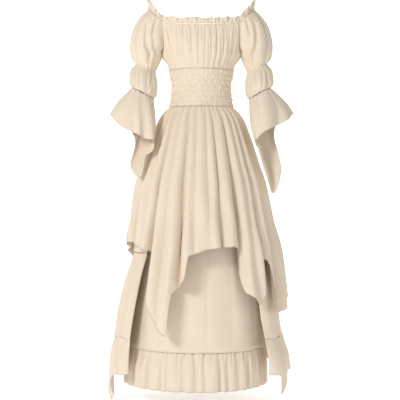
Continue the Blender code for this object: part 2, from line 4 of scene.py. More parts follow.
import bmesh
import bpy
import numpy as np
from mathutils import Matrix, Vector


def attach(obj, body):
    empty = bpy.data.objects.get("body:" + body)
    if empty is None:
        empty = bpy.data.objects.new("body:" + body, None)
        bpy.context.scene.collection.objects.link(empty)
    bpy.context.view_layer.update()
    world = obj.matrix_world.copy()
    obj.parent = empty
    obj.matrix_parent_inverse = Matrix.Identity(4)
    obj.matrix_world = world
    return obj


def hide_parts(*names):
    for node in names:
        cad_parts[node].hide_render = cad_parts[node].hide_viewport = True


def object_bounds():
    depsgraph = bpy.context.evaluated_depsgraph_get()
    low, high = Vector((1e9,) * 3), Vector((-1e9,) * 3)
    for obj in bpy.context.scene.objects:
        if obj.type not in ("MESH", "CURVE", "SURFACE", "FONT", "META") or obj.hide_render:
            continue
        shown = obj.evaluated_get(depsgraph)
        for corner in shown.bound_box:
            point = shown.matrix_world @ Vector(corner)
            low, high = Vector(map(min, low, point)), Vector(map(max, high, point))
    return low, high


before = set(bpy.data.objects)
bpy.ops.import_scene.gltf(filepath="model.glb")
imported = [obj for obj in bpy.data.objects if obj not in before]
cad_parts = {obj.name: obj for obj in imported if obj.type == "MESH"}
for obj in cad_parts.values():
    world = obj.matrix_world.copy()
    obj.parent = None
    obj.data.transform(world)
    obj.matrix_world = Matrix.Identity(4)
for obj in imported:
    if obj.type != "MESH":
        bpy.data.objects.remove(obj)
cad_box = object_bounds()

# Studio: a level camera at the height of the thighs, a pale floor that curves up behind, and wide
# soft lights, the key at the left. The camera sees a brighter world than the one that lights.
CAMERA_PLACE = (-0.0047, -3.5, -0.400)
LENS = 87.5
FLOOR_GAP = 0.004
FLOOR_Z = cad_box[0][2] - FLOOR_GAP
FLOOR_HALF_WIDTH = 6.0
FLOOR_GLOW = 0.55
WORLD_LIGHT = 0.34
WORLD_SEEN = 1.0
COVE = (
    # distance behind the dress, rise
    (-3.0, 0.0), (2.2, 0.0), (2.7, 0.06), (3.1, 0.25), (3.4, 0.60), (3.5, 1.1), (3.5, 5.0),
)
scene = bpy.context.scene
camera = bpy.data.objects.new("camera", bpy.data.cameras.new("camera"))
camera.data.lens = LENS
camera.data.sensor_width = 36.0
camera.location = CAMERA_PLACE
camera.rotation_euler = (math.radians(90), 0, 0)
scene.collection.objects.link(camera)
scene.camera = camera
scene.view_settings.view_transform = "Standard"


def studio_light(name, place, aim, size, power, colour):
    """A square area light at a place, turned to a point."""
    lamp = bpy.data.lights.new(name, "AREA")
    lamp.size = size
    lamp.energy = power
    lamp.color = colour
    holder = bpy.data.objects.new(name, lamp)
    holder.location = place
    holder.rotation_euler = (Vector(aim) - Vector(place)).to_track_quat("-Z", "Y").to_euler()
    scene.collection.objects.link(holder)


studio_light("key", (-2.5, -3.0, 1.5), (0, 0, -0.4), 1.1, 92, (1.0, 0.99, 0.97))
studio_light("fill", (2.4, -3.2, 0.6), (0, 0, -0.4), 2.2, 22, (1.0, 0.99, 0.97))
studio_light("back", (0.6, 3.2, 1.8), (0, 0, -0.2), 2.0, 45, (1.0, 1.0, 1.0))
world = bpy.data.worlds.new("studio")
world.use_nodes = True
backdrop = world.node_tree.nodes["Background"]
backdrop.inputs["Color"].default_value = (1.0, 1.0, 1.0, 1.0)
ray = world.node_tree.nodes.new("ShaderNodeLightPath")
dim = world.node_tree.nodes.new("ShaderNodeMapRange")
dim.inputs["To Min"].default_value = WORLD_LIGHT
dim.inputs["To Max"].default_value = WORLD_SEEN
world.node_tree.links.new(ray.outputs["Is Camera Ray"], dim.inputs["Value"])
world.node_tree.links.new(dim.outputs["Result"], backdrop.inputs["Strength"])
scene.world = world

floor_mesh = bmesh.new()
edges_of_floor = [
    [floor_mesh.verts.new((x, y, FLOOR_Z + rise)) for x in (-FLOOR_HALF_WIDTH, FLOOR_HALF_WIDTH)]
    for y, rise in COVE
]
for near, far in zip(edges_of_floor, edges_of_floor[1:]):
    floor_mesh.faces.new((near[0], near[1], far[1], far[0]))
floor_data = bpy.data.meshes.new("studio_floor")
floor_mesh.to_mesh(floor_data)
floor_mesh.free()
floor_data.shade_smooth()
floor_paint = bpy.data.materials.new("pale_floor")
floor_paint.use_nodes = True
floor_shader = floor_paint.node_tree.nodes["Principled BSDF"]
floor_shader.inputs["Base Color"].default_value = (0.97, 0.97, 0.97, 1.0)
floor_shader.inputs["Roughness"].default_value = 0.9
floor_shader.inputs["Specular IOR Level"].default_value = 0.1
floor_shader.inputs["Emission Color"].default_value = (1.0, 1.0, 1.0, 1.0)
floor_shader.inputs["Emission Strength"].default_value = FLOOR_GLOW
floor_data.materials.append(floor_paint)
studio_floor = bpy.data.objects.new("studio_floor", floor_data)
scene.collection.objects.link(studio_floor)

# Cotton cloth: a plain weave of fine matt threads in warm cream, a little uneven from thread to
# thread, with a soft nap. The weave runs along each piece's own UV map, which is in metres.
CREAM = (0.775, 0.672, 0.545, 1.0)
CREAM_SHADE = (0.700, 0.585, 0.450, 1.0)
# The rolled hems take a darker cream than the cloth. This is painted shade, standing in for the
# shade inside the roll of each hem.
HEM_PAINTED_SHADE_CREAM = (0.62, 0.50, 0.37, 1.0)
HEM_PAINTED_SHADE_SLUB = (0.50, 0.39, 0.28, 1.0)
CLOTH_NAP = 0.18
HEM_NAP = 0.1
THREAD_PITCH = 0.00055
SLUB_STRETCHES = ((900.0, 14.0, 1.0), (14.0, 900.0, 1.0))


def weave_group():
    """Node group of a plain weave: thread relief and the slubs that tint single threads."""
    group = bpy.data.node_groups.new("plain_weave", "ShaderNodeTree")
    for name, kind in (("Vector", "NodeSocketVector"), ("Pitch", "NodeSocketFloat")):
        group.interface.new_socket(name, in_out="INPUT", socket_type=kind)
    for name in ("Relief", "Slub"):
        group.interface.new_socket(name, in_out="OUTPUT", socket_type="NodeSocketFloat")
    nodes = group.nodes
    links = group.links
    source = nodes.new("NodeGroupInput")
    result = nodes.new("NodeGroupOutput")
    parts = nodes.new("ShaderNodeSeparateXYZ")
    links.new(source.outputs["Vector"], parts.inputs[0])

    def math_node(operation, first, second=None):
        node = nodes.new("ShaderNodeMath")
        node.operation = operation
        links.new(first, node.inputs[0])
        if second is not None:
            if isinstance(second, float):
                node.inputs[1].default_value = second
            else:
                links.new(second, node.inputs[1])
        return node.outputs[0]

    turns = []
    for axis in ("X", "Y"):
        count = math_node("DIVIDE", parts.outputs[axis], source.outputs["Pitch"])
        turns.append(math_node("SINE", math_node("MULTIPLY", count, math.pi)))
    crossing = math_node("MULTIPLY", turns[0], turns[1])
    links.new(crossing, result.inputs["Relief"])
    streaks = []
    for stretch in SLUB_STRETCHES:
        mapping = nodes.new("ShaderNodeMapping")
        mapping.inputs["Scale"].default_value = stretch
        noise = nodes.new("ShaderNodeTexNoise")
        noise.inputs["Scale"].default_value = 1.0
        noise.inputs["Detail"].default_value = 2.0
        links.new(source.outputs["Vector"], mapping.inputs["Vector"])
        links.new(mapping.outputs[0], noise.inputs["Vector"])
        streaks.append(noise.outputs["Fac"])
    blend = math_node("ADD", streaks[0], streaks[1])
    links.new(math_node("MULTIPLY", blend, 0.5), result.inputs["Slub"])
    return group


plain_weave = weave_group()


def cotton_material(name, light, shade, sheen):
    """Matt woven cotton: light thread colour, the shade of its slubs, and the nap's sheen."""
    material = bpy.data.materials.new(name)
    material.use_nodes = True
    nodes = material.node_tree.nodes
    links = material.node_tree.links
    shader = nodes["Principled BSDF"]
    shader.inputs["Specular IOR Level"].default_value = 0.22
    shader.inputs["Sheen Weight"].default_value = sheen
    shader.inputs["Sheen Roughness"].default_value = 0.45
    shader.inputs["Sheen Tint"].default_value = (1.0, 0.95, 0.87, 1.0)
    uv = nodes.new("ShaderNodeUVMap")
    uv.uv_map = "cloth"
    weave = nodes.new("ShaderNodeGroup")
    weave.node_tree = plain_weave
    weave.inputs["Pitch"].default_value = THREAD_PITCH
    links.new(uv.outputs["UV"], weave.inputs["Vector"])
    place = nodes.new("ShaderNodeTexCoord")
    cloud = nodes.new("ShaderNodeTexNoise")
    cloud.inputs["Scale"].default_value = 9.0
    cloud.inputs["Detail"].default_value = 3.0
    links.new(place.outputs["Object"], cloud.inputs["Vector"])
    tint = nodes.new("ShaderNodeMix")
    tint.data_type = "RGBA"
    tint.inputs["A"].default_value = light
    tint.inputs["B"].default_value = shade
    amount = nodes.new("ShaderNodeMath")
    amount.operation = "MULTIPLY"
    links.new(weave.outputs["Slub"], amount.inputs[0])
    links.new(cloud.outputs["Fac"], amount.inputs[1])
    links.new(amount.outputs[0], tint.inputs["Factor"])
    links.new(tint.outputs["Result"], shader.inputs["Base Color"])
    rough = nodes.new("ShaderNodeMapRange")
    rough.inputs["To Min"].default_value = 0.74
    rough.inputs["To Max"].default_value = 0.92
    links.new(weave.outputs["Slub"], rough.inputs["Value"])
    links.new(rough.outputs["Result"], shader.inputs["Roughness"])
    bump = nodes.new("ShaderNodeBump")
    bump.inputs["Strength"].default_value = 0.35
    bump.inputs["Distance"].default_value = 0.00012
    links.new(weave.outputs["Relief"], bump.inputs["Height"])
    links.new(bump.outputs["Normal"], shader.inputs["Normal"])
    return material


cream_cotton = cotton_material("cream_cotton", CREAM, CREAM_SHADE, CLOTH_NAP)
# The hem material's darker cream is painted shade on the rolled hems.
hem_cotton_painted_shade = cotton_material("hem_cotton_painted_shade", HEM_PAINTED_SHADE_CREAM, HEM_PAINTED_SHADE_SLUB, HEM_NAP)

# Bodice: a front and a back panel of cotton, gathered into the neck casing above and into the
# smocked waistband below. The raglan seams of the sleeves and the side seams are its edges.
SEAM_GAP = 0.0003
UNDERARM = 0.78
SHELL = 0.0008
MERGE_DISTANCE = 0.00002
FOLD_SHARPNESS = 0.8
CREASE_TAPER = 0.25
BODICE_SEAM_START = 0.92
BODICE_SEAM_FADE = 0.05
BODICE = (
    # down, z at the middle, z at the edge, half width, front depth, back depth, spread, fold
    (0.00, 0.2165, 0.2280, 0.2000, 0.1000, 0.0950, 43.2, 0.0010),
    (0.20, 0.1900, 0.2000, 0.1830, 0.1050, 0.0990, 49.4, 0.0045),
    (0.42, 0.1600, 0.1700, 0.1680, 0.1085, 0.1010, 55.8, 0.0060),
    (0.64, 0.1280, 0.1380, 0.1530, 0.1070, 0.1000, 66.2, 0.0060),
    (UNDERARM, 0.1040, 0.1120, 0.1425, 0.1020, 0.0970, 90.0, 0.0055),
    (0.90, 0.0830, 0.0830, 0.1235, 0.0945, 0.0915, 90.0, 0.0040),
    (1.00, 0.0640, 0.0640, 0.1180, 0.0880, 0.0870, 90.0, 0.0010),
)
BODICE_FRONT_VALLEYS = (
    # place across the panel, depth beside its neighbours
    (-1.50, 1.0), (-1.32, 0.8), (-1.17, 1.1), (-1.02, 0.8), (-0.84, 0.9), (-0.72, 0.6),
    (-0.59, 1.0), (-0.43, 0.8), (-0.23, 1.2), (-0.06, 1.1), (0.10, 0.8), (0.25, 0.9),
    (0.38, 1.2), (0.57, 0.9), (0.70, 0.6), (0.82, 1.0), (1.00, 0.8), (1.16, 1.0),
    (1.33, 0.8), (1.50, 1.0),
)
BODICE_BACK_VALLEYS = (
    (-1.50, 1.0), (-1.31, 0.9), (-1.15, 0.7), (-1.00, 1.0), (-0.82, 0.9), (-0.68, 1.1),
    (-0.52, 0.7), (-0.36, 1.0), (-0.22, 0.8), (-0.05, 1.1), (0.12, 0.8), (0.27, 1.0),
    (0.44, 0.7), (0.58, 1.1), (0.72, 0.8), (0.86, 0.9), (1.01, 1.0), (1.17, 0.7),
    (1.32, 1.0), (1.50, 1.0),
)
BODICE_CREASES = (
    # place at its top, place at its end, from, to, depth, width
    (-0.90, -0.80, 0.05, 0.70, 0.0032, 0.022),
    (-0.66, -0.64, 0.00, 0.45, 0.0028, 0.018),
    (-0.50, -0.53, 0.30, 0.98, 0.0034, 0.020),
    (-0.34, -0.30, 0.02, 0.60, 0.0030, 0.020),
    (-0.14, -0.16, 0.35, 0.98, 0.0032, 0.018),
    (0.02, 0.03, 0.02, 0.52, 0.0026, 0.016),
    (0.17, 0.19, 0.28, 0.96, 0.0032, 0.020),
    (0.32, 0.30, 0.02, 0.58, 0.0028, 0.018),
    (0.47, 0.50, 0.25, 0.98, 0.0036, 0.021),
    (0.64, 0.62, 0.02, 0.55, 0.0028, 0.018),
    (0.76, 0.75, 0.35, 0.95, 0.0030, 0.020),
    (0.93, 0.86, 0.05, 0.75, 0.0032, 0.022),
)
BODICE_GATHERS = (
    # stitched line, first place, last place, count, reach, depth
    (0.0, -1.04, 1.04, 31, 0.17, 0.0034),
    (1.0, -1.42, 1.42, 36, 0.15, 0.0028),
)
NECK_SPREAD = 43.2
BAND_SPREAD = 20.0


def curve_through(table, key):
    """The columns of a table, on smooth curves through its rows, at keys of its first column."""
    values = np.array(table, float)
    keys = values[:, 0]
    key = np.clip(key, keys[0], keys[-1])
    low = np.clip(np.searchsorted(keys, key, side="right") - 1, 0, len(keys) - 2)
    span = keys[low + 1] - keys[low]
    t = (key - keys[low]) / span
    before = np.maximum(np.arange(len(keys)) - 1, 0)
    after = np.minimum(np.arange(len(keys)) + 1, len(keys) - 1)
    slopes = (values[after] - values[before]) / (keys[after] - keys[before])[:, None]
    columns = []
    for column in range(1, values.shape[1]):
        start = values[low, column]
        end = values[low + 1, column]
        rise = t * (1 - t) ** 2 * slopes[low, column] - t * t * (1 - t) * slopes[low + 1, column]
        columns.append(start + (end - start) * t * t * (3 - 2 * t) + span * rise)
    return columns


def scallop(valleys, place, down=0.0):
    """0 on the crest of a fold, and minus its depth in the valley on each side of it.

    A valley's last value is its depth at the lower end, where the row has a third one.
    """
    places = np.array([row[0] for row in valleys])
    upper = np.array([row[1] for row in valleys])
    lower = np.array([row[-1] for row in valleys])
    low = np.clip(np.searchsorted(places, place, side="right") - 1, 0, len(places) - 2)
    share = np.clip((place - places[low]) / (places[low + 1] - places[low]), 0, 1)
    start = upper[low] + (lower[low] - upper[low]) * down
    end = upper[low + 1] + (lower[low + 1] - upper[low + 1]) * down
    return -(start + (end - start) * share) * (1 - np.sin(math.pi * share) ** FOLD_SHARPNESS)


def even_valleys(first, last, count):
    """Valleys at a nearly even pitch, with depths that vary from one to the next."""
    inner = []
    for i in range(1, count):
        place = first + (last - first) * (i + 0.22 * math.sin(2.4 * i)) / count
        inner.append((place, 1 + 0.3 * math.sin(4.1 * i + 1)))
    return ((first, 1.0), *inner, (last, 1.0))


def fade(value, start, stop):
    """0 up to start, 1 from stop on, and a soft step between them."""
    share = np.clip((value - start) / (stop - start), 0, 1)
    return share * share * (3 - 2 * share)


def creases(across, down, table):
    """Troughs and ridges listed one by one: each row runs from one place to another on the piece."""
    relief = np.zeros_like(across)
    for top_place, end_place, start, stop, depth, width in table:
        share = (down - start) / (stop - start)
        centre = top_place + (end_place - top_place) * share
        window = fade(share, 0.0, CREASE_TAPER) * (1 - fade(share, 1 - CREASE_TAPER, 1.0))
        relief -= depth * window * np.exp(-(((across - centre) / width) ** 2))
    return relief


def raise_cloth(points, relief):
    """The cloth's points, moved out along its normals by the relief."""
    across = np.gradient(points, axis=1)
    down = np.gradient(points, axis=0)
    normal = np.cross(down, across)
    normal /= np.maximum(np.linalg.norm(normal, axis=2, keepdims=True), 1e-12)
    return points + normal * relief[:, :, None]


def lay_cloth(name, points):
    """A thin shell of cloth on a grid of points, rows down and columns to the right."""
    rows, columns = points.shape[:2]
    mesh = bmesh.new()
    bmesh.ops.create_grid(mesh, x_segments=columns - 1, y_segments=rows - 1, size=0.5)
    mesh.verts.ensure_lookup_table()
    for vertex, place in zip(mesh.verts, points[::-1].reshape(-1, 3)):
        vertex.co = place
    wide = np.linalg.norm(np.diff(points, axis=1), axis=2).mean(axis=0)
    long = np.linalg.norm(np.diff(points, axis=0), axis=2).mean(axis=1)
    u = np.concatenate(([0], np.cumsum(wide)))
    v = np.concatenate(([0], np.cumsum(long)))[::-1]
    layer = mesh.loops.layers.uv.new("cloth")
    for face in mesh.faces:
        for loop in face.loops:
            row, column = divmod(loop.vert.index, columns)
            loop[layer].uv = (u[column], v[row])
    bmesh.ops.remove_doubles(mesh, verts=mesh.verts[:], dist=MERGE_DISTANCE)
    data = bpy.data.meshes.new(name)
    mesh.to_mesh(data)
    mesh.free()
    data.shade_smooth()
    data.materials.append(cream_cotton)
    piece = bpy.data.objects.new(name, data)
    scene.collection.objects.link(piece)
    wall = piece.modifiers.new("wall", "SOLIDIFY")
    wall.thickness = SHELL
    wall.offset = -1.0
    return piece


def dress_node(piece, node):
    """Hangs a sheet of cloth on the root body and hides the solid in whose place it lies."""
    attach(piece, "root")
    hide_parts(node)


def bodice_surface(side, across, down):
    """Points of the front (side -1) or the back (side 1) of the bodice.

    The folds run down from the neck and draw together towards the band. Those beyond 1 start at
    the raglan seam, under the arm.
    """
    valleys = BODICE_FRONT_VALLEYS if side < 0 else BODICE_BACK_VALLEYS
    mid_z, edge_z, width, front, back, spread, fold = curve_through(BODICE, down)
    depth = front if side < 0 else back
    angle = np.radians(np.minimum(spread, 90.0) * across)
    normal_x = np.sin(angle) / width
    normal_y = np.cos(angle) / depth
    place = across * spread / (NECK_SPREAD + BAND_SPREAD * down)
    at_seam = fade(np.abs(across), BODICE_SEAM_START, 1.0)
    depth_share = scallop(valleys, place) * (1 - at_seam) - at_seam
    push = fold * depth_share / np.hypot(normal_x, normal_y)
    x = width * np.sin(angle) + push * normal_x
    y = depth * np.cos(angle) + push * normal_y
    z = mid_z + (edge_z - mid_z) * across * across + SEAM_GAP / 2
    return np.stack((-side * x, side * y, z), axis=-1)


def gathers(place, down, line, first, last, count, reach, depth):
    """Gathers drawn up on a stitched line: troughs at uneven places, of uneven depth and length."""
    relief = np.zeros_like(place)
    pitch = (last - first) / count
    for i in range(count):
        away = np.abs(down - line) / (reach * (0.5 + 1.1 * math.sin(3.7 * i + line) ** 2))
        centre = first + pitch * (i + 0.5 + 0.34 * math.sin(7.3 * i + 5 * line))
        centre = centre + pitch * 0.6 * math.sin(1.9 * i) * away
        width = pitch * (0.25 + 0.07 * math.sin(5.1 * i)) * (1 + 0.4 * away)
        own = depth * (0.75 + 0.45 * math.sin(2.9 * i + 1.0))
        relief -= own * np.exp(-away) * np.exp(-(((place - centre) / width) ** 2))
    return relief


across, down = np.meshgrid(np.linspace(-1, 1, 181), np.linspace(0, 1, 71))
for side, name in ((-1, "bodice_front"), (1, "bodice_back")):
    spread = np.minimum(curve_through(BODICE, down)[5], 90.0)
    place = across * spread / (NECK_SPREAD + BAND_SPREAD * down)
    relief = creases(place * -side, down, BODICE_CREASES)
    for gather_row in BODICE_GATHERS:
        relief += gathers(place, down, *gather_row)
    relief *= fade(1 - np.abs(across), 0.0, BODICE_SEAM_FADE)
    bodice = lay_cloth("cotton_" + name, raise_cloth(bodice_surface(side, across, down), relief))
    dress_node(bodice, name)

# Waistband: a front and a back panel, shirred with rows of elastic thread that pucker the cloth
# into small cushions. Waves of unrelated lengths keep one pucker from repeating the next.
BAND_TOP = 0.064
BAND_BOTTOM = -0.069
PUCKERS = 44
SHIRRED_ROWS = 7
PUCKER_RELIEF = 0.0034
PUCKER_SWELL = 1.25
BAND_SEAM_FADE = 0.02
BAND = (
    # down, half width, front depth, back depth
    (0.0, 0.1185, 0.0885, 0.0875),
    (0.5, 0.1085, 0.0825, 0.0815),
    (1.0, 0.1175, 0.0887, 0.0877),
)


def oval(angle, left, right, front, back, push):
    """Points in plan of an oval ring round the body, moved out along its normal."""
    sine = np.sin(np.radians(angle))
    cosine = np.cos(np.radians(angle))
    width = np.where(sine > 0, right, left)
    depth = np.where(cosine > 0, front, back)
    scale = push / np.hypot(sine / width, cosine / depth)
    return width * sine + scale * sine / width, -(depth * cosine + scale * cosine / depth)


def band_surface(angle, down):
    """Points of the plain face that the waistband's puckers stand on."""
    width, front, back = curve_through(BAND, down)
    x, y = oval(angle, width, width, front, back, np.zeros_like(angle))
    z = BAND_TOP - SEAM_GAP / 2 + (BAND_BOTTOM - BAND_TOP) * down
    return np.stack((x, y, z), axis=-1)


for name, first in (("waistband_front", -90.0), ("waistband_back", 90.0)):
    angle, down = np.meshgrid(np.linspace(first, first + 180, 265), np.linspace(0, 1, 85))
    share = (angle - first) / 180
    row = down * SHIRRED_ROWS
    tier = np.floor(row)
    drift = 0.9 * np.sin(2.1 * tier + 23.0 * share) * np.sin(math.pi * (row % 1)) ** 2
    drift += 0.5 * np.sin(share * 61.0 + 4.0 * tier)
    crest = (0.5 - 0.5 * np.cos(math.pi * (share * PUCKERS + drift))) ** 0.8
    strength = 0.62 + 0.38 * np.sin(share * 47.0 + 2.7 * tier) * np.sin(share * 29.0 + 1.1 * tier)
    fine = 0.5 + 0.5 * np.sin(math.pi * share * PUCKERS * 2.6 + 1.7 * tier)
    puff = np.sin(math.pi * (row % 1)) ** 0.6
    height = (0.05 + 0.95 * puff) * (0.10 + 0.90 * crest * strength + 0.18 * fine)
    height = PUCKER_SWELL * height * fade(share, 0.0, BAND_SEAM_FADE)
    height *= fade(1 - share, 0.0, BAND_SEAM_FADE)
    points = raise_cloth(band_surface(angle, down), PUCKER_RELIEF * (height - 1))
    band = lay_cloth("smocked_" + name, points)
    dress_node(band, name)

# Sleeves: each one cut of cotton, gathered at the neck casing, and drawn in by two elastic lines
# into an upper and a lower puff. The upper rows are open to the armhole.
SLEEVE_UNDERARM = 0.50
SLEEVE_FOLD_FADE = 0.12
SLEEVE_RELIEF_FADE = 0.06
HALF_FOLD = 0.5
SLEEVE = (
    # down, outer x, outer z, inner x, inner z, middle y, half depth, fold
    (0.00, 0.190, 0.284, 0.137, 0.228, 0.000, 0.0735, 0.0010),
    (0.13, 0.222, 0.254, 0.139, 0.200, 0.000, 0.0755, 0.0040),
    (0.27, 0.2435, 0.212, 0.139, 0.170, 0.000, 0.0755, 0.0060),
    (0.41, 0.2535, 0.160, 0.140, 0.138, -0.001, 0.0710, 0.0070),
    (SLEEVE_UNDERARM, 0.2520, 0.123, 0.1425, 0.112, -0.004, 0.0640, 0.0070),
    (0.58, 0.2450, 0.100, 0.153, 0.083, -0.009, 0.0520, 0.0055),
    (0.64, 0.2360, 0.0875, 0.163, 0.0545, -0.014, 0.0400, 0.0010),
    (0.70, 0.2500, 0.066, 0.158, 0.033, -0.018, 0.0500, 0.0050),
    (0.79, 0.2545, 0.036, 0.156, 0.003, -0.024, 0.0560, 0.0065),
    (0.90, 0.2550, 0.012, 0.159, -0.026, -0.030, 0.0530, 0.0055),
    (1.00, 0.2480, 0.000, 0.1685, -0.0415, -0.034, 0.0440, 0.0010),
)
SLEEVE_VALLEYS = even_valleys(-1.0, 1.0, 9)
SLEEVE_CREASES = (
    # place at its top, place at its end, from, to, depth, width
    (-0.80, -0.70, 0.02, 0.34, 0.0044, 0.030),
    (-0.55, -0.60, 0.10, 0.62, 0.0052, 0.034),
    (-0.36, -0.30, 0.00, 0.30, 0.0040, 0.026),
    (-0.22, -0.10, 0.28, 0.64, 0.0048, 0.032),
    (-0.05, 0.02, 0.02, 0.40, 0.0036, 0.026),
    (0.18, 0.12, 0.20, 0.63, 0.0048, 0.034),
    (0.36, 0.42, 0.02, 0.36, 0.0040, 0.028),
    (0.56, 0.50, 0.26, 0.63, 0.0052, 0.034),
    (0.76, 0.82, 0.04, 0.44, 0.0040, 0.030),
    (-0.72, -0.62, 0.66, 0.97, 0.0044, 0.034),
    (-0.40, -0.46, 0.64, 0.94, 0.0048, 0.032),
    (-0.12, -0.08, 0.66, 0.98, 0.0040, 0.030),
    (0.16, 0.24, 0.65, 0.95, 0.0048, 0.034),
    (0.50, 0.44, 0.66, 0.97, 0.0044, 0.032),
    (0.78, 0.84, 0.65, 0.96, 0.0044, 0.034),
)
SLEEVE_GATHERS = (
    # stitched line, first place, last place, count, reach, depth
    (0.00, -1.0, 1.0, 20, 0.10, 0.0030),
    (0.64, -1.0, 1.0, 22, 0.07, 0.0046),
    (1.00, -1.0, 1.0, 22, 0.06, 0.0040),
)


def sleeve_surface(hand, across, down):
    """Points of a sleeve on one hand (-1 left, 1 right); 0 across is its outer side."""
    outer_x, outer_z, inner_x, inner_z, mid_y, depth, fold = curve_through(SLEEVE, down)
    turn_share = across * hand
    armhole = np.minimum(down * UNDERARM / SLEEVE_UNDERARM, UNDERARM)
    front = bodice_surface(-1, np.full_like(down, hand), armhole)
    back = bodice_surface(1, np.full_like(down, -hand), armhole)
    edge = np.where((turn_share < 0)[..., None], front, back)
    is_open = down < SLEEVE_UNDERARM
    reach = np.minimum(np.abs(edge[..., 1] - mid_y) / depth, 1.0)
    opening = np.where(is_open, math.pi - np.arcsin(reach), math.pi)
    inner_x = np.where(is_open, np.abs(edge[..., 0]), inner_x) + SEAM_GAP
    inner_z = np.where(is_open, edge[..., 2], inner_z)
    turn = turn_share * opening
    share = (np.cos(turn) - np.cos(opening)) / (1 - np.cos(opening))
    push = fold * (scallop(SLEEVE_VALLEYS, turn_share) + HALF_FOLD)
    push *= np.minimum(1.0, (1 - np.abs(turn_share)) / SLEEVE_FOLD_FADE)
    x = inner_x + (outer_x - inner_x) * share + push * np.cos(turn)
    y = mid_y + (depth + push) * np.sin(turn)
    z = inner_z + (outer_z - inner_z) * share
    return np.stack((hand * x, y, z), axis=-1)


for hand, name in ((-1, "sleeve_left"), (1, "sleeve_right")):
    across, down = np.meshgrid(np.linspace(-1, 1, 151), np.linspace(0, 1, 77))
    relief = creases(across * hand, down, SLEEVE_CREASES)
    for gather_row in SLEEVE_GATHERS:
        relief += gathers(across, down, *gather_row)
    relief *= fade(1 - np.abs(across), 0.0, SLEEVE_RELIEF_FADE)
    sleeve = lay_cloth("cotton_" + name, raise_cloth(sleeve_surface(hand, across, down), relief))
    dress_node(sleeve, name)

# Cuffs: a wide bell of cotton on each sleeve's lower elastic line, cut near square so that one
# corner hangs down behind the arm.
CUFF_FOLD = 0.0075
CUFF_SWELL = 0.010
CUFF_WAVE = 0.0060
CUFF_SEAM_FADE = 0.03
CUFF_GATHERS = (0.0, -1.0, 1.0, 21, 0.30, 0.0040)
HEM_RADIUS = 0.0009
LEFT_CUFF_HEM = (
    # degrees round the arm, distance from the middle, y, z
    (-180, 0.186, -0.118, -0.240),
    (-150, 0.166, -0.122, -0.216),
    (-125, 0.160, -0.128, -0.197),
    (-90, 0.203, -0.134, -0.183),
    (-60, 0.240, -0.126, -0.161),
    (-30, 0.277, -0.104, -0.142),
    (0, 0.321, -0.058, -0.098),
    (40, 0.292, -0.018, -0.112),
    (80, 0.258, -0.030, -0.138),
    (110, 0.238, -0.062, -0.190),
    (130, 0.246, -0.088, -0.285),
    (155, 0.213, -0.108, -0.318),
    (180, 0.186, -0.118, -0.240),
)
RIGHT_CUFF_HEM = (
    (-180, 0.203, -0.116, -0.215),
    (-150, 0.192, -0.120, -0.205),
    (-125, 0.192, -0.126, -0.188),
    (-90, 0.214, -0.134, -0.168),
    (-60, 0.246, -0.126, -0.148),
    (-30, 0.287, -0.104, -0.128),
    (0, 0.323, -0.058, -0.097),
    (40, 0.296, -0.018, -0.108),
    (80, 0.266, -0.030, -0.132),
    (110, 0.258, -0.058, -0.190),
    (130, 0.281, -0.080, -0.300),
    (155, 0.252, -0.102, -0.372),
    (180, 0.203, -0.116, -0.215),
)
CUFF_VALLEYS = even_valleys(-1.0, 1.0, 8)


def cuff_surface(hand, hem_table, across, down):
    """Points of a bell cuff, from the lower elastic line to its handkerchief hem."""
    turn_share = across * hand
    hem_x, hem_y, hem_z = curve_through(hem_table, turn_share * 180)
    start = sleeve_surface(hand, across, np.ones_like(down))
    start[..., 2] -= SEAM_GAP
    end = np.stack((hand * hem_x, hem_y, hem_z), axis=-1)
    turn = turn_share * math.pi
    push = CUFF_FOLD * down * (scallop(CUFF_VALLEYS, turn_share) + HALF_FOLD)
    push += CUFF_SWELL * np.sin(math.pi * down)
    out = np.stack((hand * np.cos(turn), np.sin(turn), np.zeros_like(turn)), axis=-1)
    return start + (end - start) * down[..., None] + out * push[..., None]


def rolled_hem(name, line, radius=HEM_RADIUS):
    """The narrow rolled hem along an edge: a thin tube of turned cloth, in a darker cream that is
    painted shade for the shade in the roll.
    """
    curve = bpy.data.curves.new(name, "CURVE")
    curve.dimensions = "3D"
    curve.bevel_depth = radius
    curve.bevel_resolution = 1
    curve.use_fill_caps = True
    # The hem tube wears the darker cream of painted shade.
    curve.materials.append(hem_cotton_painted_shade)
    spline = curve.splines.new("POLY")
    spline.points.add(len(line) - 1)
    for point, place in zip(spline.points, line):
        point.co = (*place, 1.0)
    hem = bpy.data.objects.new(name, curve)
    scene.collection.objects.link(hem)
    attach(hem, "root")
    return hem


for hand, name, hem_table in ((-1, "cuff_left", LEFT_CUFF_HEM), (1, "cuff_right", RIGHT_CUFF_HEM)):
    across, down = np.meshgrid(np.linspace(-1, 1, 161), np.linspace(0, 1, 43))
    relief = gathers(across, down, *CUFF_GATHERS)
    relief += CUFF_WAVE * down**1.5 * np.sin(across * hand * 25.0 + 2.0 * np.sin(across * 7.0))
    relief *= fade(1 - np.abs(across), 0.0, CUFF_SEAM_FADE)
    points = raise_cloth(cuff_surface(hand, hem_table, across, down), relief)
    cuff = lay_cloth("cotton_" + name, points)
    dress_node(cuff, name)
    rolled_hem("rolled_hem_" + name, points[-1])

# Neck frill: a long strip of cotton gathered on the elastic casing that runs round the neck and
# over both arms, with its header standing up in small waves.
FRILL_WAVES = 32
FRILL_FRONT_HEIGHT = 0.021
FRILL_ARM_HEIGHT = 0.032
FRILL_WAVE = 0.0042
FRILL_HEIGHT_DRIFT = 0.13
CRINKLE = 0.0010
CRINKLE_AT_EDGE = 0.0016
CASING_SHARE = 0.30
STITCH_DEPTH = 0.0016
STITCH_WIDTH = 0.07
FRILL_HEM_RADIUS = 0.0007


